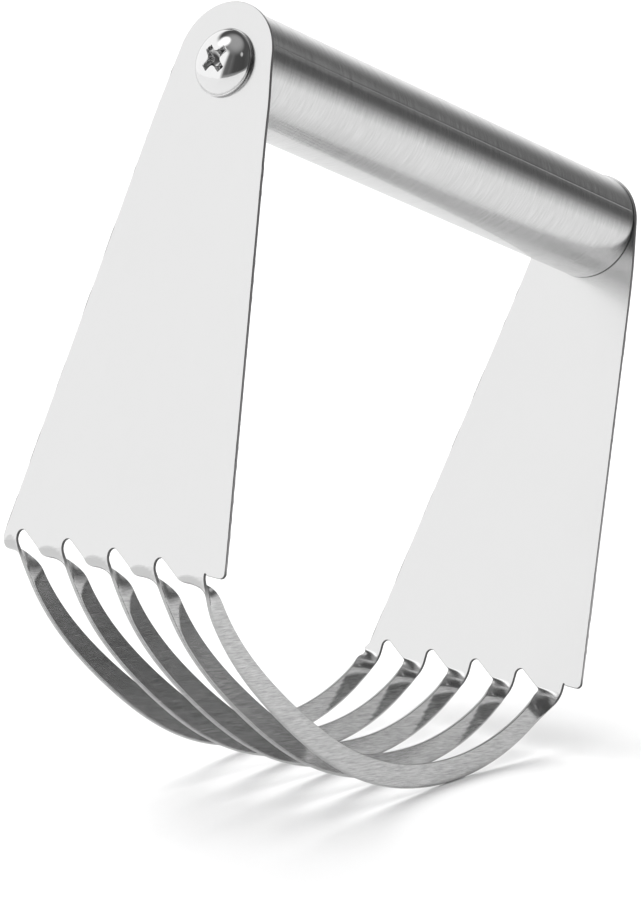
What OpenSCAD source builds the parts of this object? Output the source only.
// Pastry blender: a one-piece stainless blade frame (two tapered side plates
// joined by five thin twisted blades) screwed to the ends of a round tube handle.
// Units mm, +Z up. The lowest blade edge rests on Z = 0, X runs along the handle,
// and the handle axis lies in the plane Y = 0. Left is -X, front is -Y.
// A "drop" is a distance below the handle axis.

/* [Overall] */
// outside width over the two side plates at the handle
frame_w = 112.8; // [100:0.2:125]
// thickness of the stainless sheet
sheet_t = 0.6; // [0.5:0.05:0.8]

/* [Side plates] */
// radius of the rounded top of each side plate
plate_r = 10.6; // [10.2:0.1:12]
// taper of each plate edge from the vertical, degrees
plate_taper = 9.67; // [9:0.05:10.5]
// inward lean of the plates below the handle, degrees
plate_lean = 2.29; // [2.0:0.01:2.6]
// drop from the handle axis to the crease where the lean starts
crease_drop = 11.5; // [11.2:0.1:14]
// diameter of the screw hole in each plate
hole_d = 5.4; // [5.2:0.1:6]
// radius of the slot tops between the blades
slot_r = 1.2; // [0.9:0.05:1.4]
// drop from the handle axis to the slot arc centres
slot_drop = 86.6; // [86.4:0.05:86.8]
// slope of the slot flanks, degrees
slot_slope = 33; // [31:0.5:35]

/* [Blades] */
// mean radius of the blade outer edge
arc_r = 57.3; // [57:0.05:57.6]
// width of a blade from its cutting edge to its inner edge
blade_w = 4.2; // [3.6:0.1:4.8]
// how far each strip is turned on leaving the plate, degrees
blade_turn = 83; // [80:1:88]
// length over which a strip is turned
turn_len = 13; // [11:0.5:14]
// narrowing of a strip in the middle of its turn
neck = 0.4; // [0:0.1:0.8]

/* [Handle tube] */
// outside diameter of the handle tube
tube_d = 20; // [19:0.1:20.4]
// wall thickness of the handle tube
tube_wall = 0.8; // [0.6:0.05:1.2]
// how far the closed seam sits above the front of the tube, degrees
seam_angle = 22.5; // [0:0.5:359]
// width of the seam line
seam_w = 0.25; // [0.15:0.05:0.5]
// depth of the seam line
seam_depth = 0.08; // [0.05:0.01:0.15]

/* [Screws and end plugs] */
// diameter of the low domed screw head
head_d = 11.4; // [10:0.1:12]
// full height of the screw head
head_h = 3.0; // [2.6:0.1:3.4]
// height of the straight rim of the screw head
head_rim = 0.9; // [0.5:0.1:1.2]
// thread diameter of the screw
thread_d = 5; // [4.8:0.1:5]
// length of the screw below its head
screw_len = 14; // [12:0.5:15]
// length of the plug pressed into each tube end
plug_len = 12; // [11:0.5:14]
// clearance between thread and plug bore
bore_gap = 0.1; // [0.05:0.05:0.2]

/* [Hidden] */
eps = 0.01;
over = 1;                // how far a cutter or an oversize blank runs past a face
left = -1;               // sides, as the sign of X
right = 1;
half_w = frame_w / 2;
mid_x = half_w - sheet_t / 2;
tube_len = frame_w - 2 * sheet_t;
tube_id = tube_d - 2 * tube_wall;
bore_d = thread_d + 2 * bore_gap;

// side plates
tangent_y = plate_r * cos(plate_taper);  // where a straight edge leaves the round top
tangent_z = plate_r * sin(plate_taper);
front_drop = 86.6;       // bottom of the plate in front of the last strip
front_corner_r = 1.3;    // rounding of the plate's front bottom corner
outline_drop = 92;       // bottom of the flat outline, cut off below the folds
fold_l = 86.9;           // drop to the start of the folds, left and right
fold_r = 88.2;

// strips, from back to front
strip_front = [22.4, 11.5, 0.7, -10.1, -21.5];  // Y of each strip's front side in the plate
edge_y = [22.4, 11.6, 0.8, -10.2, -20.3];       // Y of each blade's cutting edge
last_strip = len(strip_front) - 1;
shift_len = 14;          // length over which a strip shifts in Y and is necked
turn_lead = 1.5;         // length of turn taken as done before the fold
lead_fade = 3;           // length over which that lead is blended in

// plain arc of the cutting edges: polar about a pole, 0 degrees down, positive to +X
pole_drop = 60;
arc_start = -61.3;
arc_end = 60.2;
cos_2 = -4.24;           // even terms of the radius
cos_4 = -0.22;
cos_6 = 0.30;
sin_1 = 0.8;             // odd terms, which set the blades towards +X
sin_3 = 1.6;
arc_steps = 38;
bend_steps = 5;          // steps between each fold and the plain arc
bend_pull = 0.4;         // control arm of that bend, as a share of its chord

function smooth(u) = let (c = min(1, max(0, u))) c * c * (3 - 2 * c);
function unit(v) = v / norm(v);
function bezier(p0, p1, p2, p3, u) =
    pow(1 - u, 3) * p0 + 3 * pow(1 - u, 2) * u * p1 + 3 * (1 - u) * u * u * p2 + pow(u, 3) * p3;

function arc_rad(a) = arc_r + cos_2 * cos(2 * a) + cos_4 * cos(4 * a) + cos_6 * cos(6 * a)
    + sin_1 * sin(a) + sin_3 * sin(3 * a);
function arc_pt(a) = [arc_rad(a) * sin(a), -pole_drop - arc_rad(a) * cos(a)];

// distance of a plate's middle plane from X = 0, at a drop
function plate_x(drop) = mid_x - max(0, drop - crease_drop) * tan(plate_lean);
// half width of a plate at a drop
function plate_y(drop) = tangent_y + (drop + tangent_z) * tan(plate_taper);
// distance from a strip's front side to the slot flank in front of it, at a drop
function flank(drop) = slot_r * (1 + sin(slot_slope))
    + (drop - slot_drop + slot_r * cos(slot_slope)) / tan(slot_slope);
// width of a strip where its fold starts
function root_w(j, drop) = j == 0
    ? plate_y(drop) - strip_front[0]
    : strip_front[j - 1] - strip_front[j] - flank(drop);

// height of the handle axis, so that the lowest blade edge is at Z = 0
lowest_drop = pole_drop + max([for (a = [-30 : 0.25 : 30]) arc_rad(a) * cos(a)]);
handle_z = lowest_drop + sheet_t / 2 * cos(blade_turn);

// cutting edge of a blade in the X-Z plane, from the left fold to the right fold
function lean_dir(side) = [-side * sin(plate_lean), -cos(plate_lean)];
function bend(side, fold, arc_angle) = let (
    start = [side * plate_x(fold), -fold],
    end = arc_pt(arc_angle),
    end_dir = unit(arc_pt(arc_angle - side * 0.5) - end),
    arm = bend_pull * norm(end - start))
    [for (i = [0 : bend_steps - 1])
        bezier(start, start + lean_dir(side) * arm, end - end_dir * arm, end, i / bend_steps)];
edge_path = concat(
    bend(left, fold_l, arc_start),
    [for (i = [0 : arc_steps]) arc_pt(arc_start + (arc_end - arc_start) * i / arc_steps)],
    let (b = bend(right, fold_r, arc_end)) [for (i = [len(b) - 1 : -1 : 0]) b[i]]);
stations = len(edge_path);
// distance along the path at each station
edge_run = [for (i = 0, s = 0; i < stations; i = i + 1,
    s = s + (i < stations ? norm(edge_path[i] - edge_path[i - 1]) : 0)) s];
edge_len = edge_run[stations - 1];
function edge_dir(i) = i == 0 ? lean_dir(left)
    : i == stations - 1 ? -lean_dir(right)
    : unit(edge_path[i + 1] - edge_path[i - 1]);

// width of strip j at a distance s from the nearer fold, which starts at a drop
function strip_w(j, s, drop) = let (
    start_w = root_w(j, drop),
    blend_len = 1.6 * max(1.5, abs(start_w - blade_w) / 1.5))
    blade_w + (start_w - blade_w) * (1 - smooth(s / blend_len))
        - neck * pow(sin(180 * min(1, s / shift_len)), 2);

// turn of a strip at a distance s from the nearer fold, zero at the fold itself
function strip_turn(s) = let (full_len = turn_len + turn_lead)
    blade_turn * smooth((s + turn_lead) / full_len)
        - blade_turn * smooth(turn_lead / full_len) * (1 - smooth(s / lead_fade));

// the four corners of strip j at station i
function section(j, i) = let (
    s = min(edge_run[i], edge_len - edge_run[i]),
    fold = edge_run[i] < edge_len / 2 ? fold_l : fold_r,
    y = strip_front[j] + (edge_y[j] - strip_front[j]) * smooth(s / shift_len),
    edge = [edge_path[i][0], y, edge_path[i][1]],
    dir = edge_dir(i),
    along = [dir[0], 0, dir[1]],
    inward = [-dir[1], 0, dir[0]],
    turn = strip_turn(s),
    across = cos(turn) * [0, 1, 0] + sin(turn) * inward,
    half_t = cross(along, across) * sheet_t / 2,
    width = across * strip_w(j, s, fold))
    [edge + half_t, edge - half_t, edge + width - half_t, edge + width + half_t];

module strip(j) {
    points = [for (i = [0 : stations - 1]) each section(j, i)];
    last = 4 * stations - 1;
    faces = concat(
        [[0, 1, 2, 3]],
        [[last, last - 1, last - 2, last - 3]],
        // two triangles for each side of each step
        [for (i = [0 : stations - 2], k = [0 : 3], h = [0, 1])
            let (a = 4 * i + k, b = 4 * i + (k + 1) % 4)
            h == 0 ? [a, a + 4, b] : [b, a + 4, b + 4]]);
    polyhedron(points = points, faces = faces);
}

// slot in front of strip j: a round top and a sloping flank, open at the bottom
module slot(j) {
    y = strip_front[j];
    bottom = outline_drop + over;
    translate([y - slot_r, -slot_drop]) circle(r = slot_r, $fn = 48);
    polygon([
        [y, -bottom],
        [y, -slot_drop],
        [y - slot_r, -slot_drop],
        [y - slot_r * (1 + sin(slot_slope)), -slot_drop + slot_r * cos(slot_slope)],
        [y - flank(bottom), -bottom]]);
}

// outline of a side plate, drawn in Y and Z about the handle axis
module plate_outline() {
    corner_r = front_corner_r;
    difference() {
        union() {
            circle(r = plate_r, $fn = 96);
            polygon([
                [-tangent_y, tangent_z],
                [tangent_y, tangent_z],
                [plate_y(outline_drop), -outline_drop],
                [strip_front[last_strip], -outline_drop],
                [strip_front[last_strip], -front_drop],
                [-plate_y(front_drop) + 2 * corner_r, -front_drop],
                [-plate_y(front_drop - 2 * corner_r), -front_drop + 2 * corner_r]]);
            translate([-plate_y(front_drop - corner_r) + corner_r / cos(plate_taper),
                -front_drop + corner_r]) circle(r = corner_r, $fn = 48);
        }
        circle(d = hole_d, $fn = 64);
        for (j = [0 : last_strip - 1]) slot(j);
    }
}

// edge-on section of the left plate in X and Z, with its crease and lean
module plate_section(fold) {
    normal = [cos(plate_lean), sin(plate_lean)];
    half_t = normal * sheet_t / 2;
    mitre = ([1, 0] + normal) / (1 + cos(plate_lean)) * sheet_t / 2;
    crease = [-mid_x, -crease_drop];
    end = [-plate_x(fold), -fold];
    top = plate_r + over;
    polygon([[-half_w, top], crease - mitre, end - half_t,
        end + half_t, crease + mitre, [-half_w + sheet_t, top]]);
}

// the left plate, down to the start of its folds
module side_plate(fold) {
    span_y = 70;  // wider than the plate
    span_x = 8;   // deeper than the plate leans
    intersection() {
        rotate([90, 0, 0]) linear_extrude(height = span_y, center = true) plate_section(fold);
        translate([-half_w - over, 0, 0]) rotate([90, 0, 90])
            linear_extrude(height = span_x) plate_outline();
    }
}

module blade_frame() {
    color("Gainsboro") translate([0, 0, handle_z]) union() {
        side_plate(fold_l);
        mirror([1, 0, 0]) side_plate(fold_r);
        for (j = [0 : last_strip]) strip(j);
    }
}

module handle_tube() {
    color("Silver") translate([0, 0, handle_z]) rotate([0, 90, 0]) difference() {
        cylinder(d = tube_d, h = tube_len, center = true, $fn = 128);
        cylinder(d = tube_id, h = tube_len + 2 * over, center = true, $fn = 128);
        // the seam: a shallow line along the whole tube, turned from -Y towards +Z
        rotate([0, -90, 0]) rotate([-seam_angle, 0, 0]) translate([0, -tube_d / 2, 0])
            cube([tube_len + 2 * over, 2 * seam_depth, seam_w], center = true);
    }
}

// drawn along +Z with its outer end at Z = 0
module end_plug() {
    wide_len = 8;
    nose_d = tube_id - 6;
    mouth_d = bore_d + 1;
    mouth_h = 0.5;
    difference() {
        union() {
            cylinder(d = tube_id, h = wide_len, $fn = 96);
            cylinder(d = nose_d, h = plug_len, $fn = 96);
        }
        translate([0, 0, -over]) cylinder(d = bore_d, h = plug_len + 2 * over, $fn = 64);
        translate([0, 0, -eps]) cylinder(d1 = mouth_d, d2 = bore_d, h = mouth_h, $fn = 64);
    }
}

module screw_head() {
    dome_h = head_h - head_rim;
    dome_r = (pow(head_d / 2, 2) + pow(dome_h, 2)) / (2 * dome_h);
    translate([0, 0, -head_rim]) cylinder(d = head_d, h = head_rim, $fn = 96);
    intersection() {
        translate([0, 0, -head_rim + dome_r - dome_h]) sphere(r = dome_r, $fn = 128);
        translate([0, 0, -head_h - over])
            cylinder(d = head_d, h = head_h + over - head_rim, $fn = 96);
    }
}

// plain shank, ringed thread and chamfered tip
module screw_shank() {
    pitch = 0.8;
    crest_r = thread_d / 2;
    root_r = crest_r - 0.45;
    plain_len = 1.2;
    plain_end = 1.6;     // where the plain shank has narrowed to the thread root
    thread_start = 1.7;
    unthreaded = 2.2;    // length left out when the turns are counted
    tip = 0.6;
    turns = floor((screw_len - unthreaded) / pitch);
    rotate_extrude($fn = 64) polygon(concat(
        [[0, -head_rim / 2], [crest_r, -head_rim / 2], [crest_r, plain_len], [root_r, plain_end]],
        [for (i = [0 : turns - 1], k = [0 : 2]) let (z = thread_start + i * pitch)
            [k == 1 ? crest_r : root_r, z + 0.3 * k]],
        [[root_r, screw_len - tip], [root_r - tip, screw_len], [0, screw_len]]));
}

module cross_recess() {
    arm_len = 8;
    arm_w = 1.1;
    depth = 2.3;
    intersection() {
        rotate([0, 0, 46.5]) union() {
            translate([-arm_len / 2, -arm_w / 2, 0]) cube([arm_len, arm_w, depth]);
            translate([-arm_w / 2, -arm_len / 2, 0]) cube([arm_w, arm_len, depth]);
        }
        cylinder(d1 = 5.3, d2 = 2.0, h = depth, $fn = 64);
    }
}

// drawn along +Z: the underside of the head is at Z = 0, the thread points to +Z
module screw() {
    recess_z = -head_h - 0.05;
    difference() {
        union() {
            screw_head();
            screw_shank();
        }
        translate([0, 0, recess_z]) cross_recess();
        translate([0, 0, recess_z]) cylinder(d1 = 2.6, d2 = 0.6, h = 2.5, $fn = 48);
    }
}

// puts a part on the handle axis at a distance x from the middle, its +Z pointing inwards
module at_end(side, x) {
    translate([side * x, 0, handle_z]) rotate([0, -side * 90, 0]) children();
}

module left_end_plug() { color("DarkGray") at_end(left, tube_len / 2) end_plug(); }
module right_end_plug() { color("DarkGray") at_end(right, tube_len / 2) end_plug(); }
module left_screw() { color("LightGray") at_end(left, half_w) screw(); }
module right_screw() { color("LightGray") at_end(right, half_w) screw(); }

blade_frame();
handle_tube();
left_end_plug();
right_end_plug();
left_screw();
right_screw();
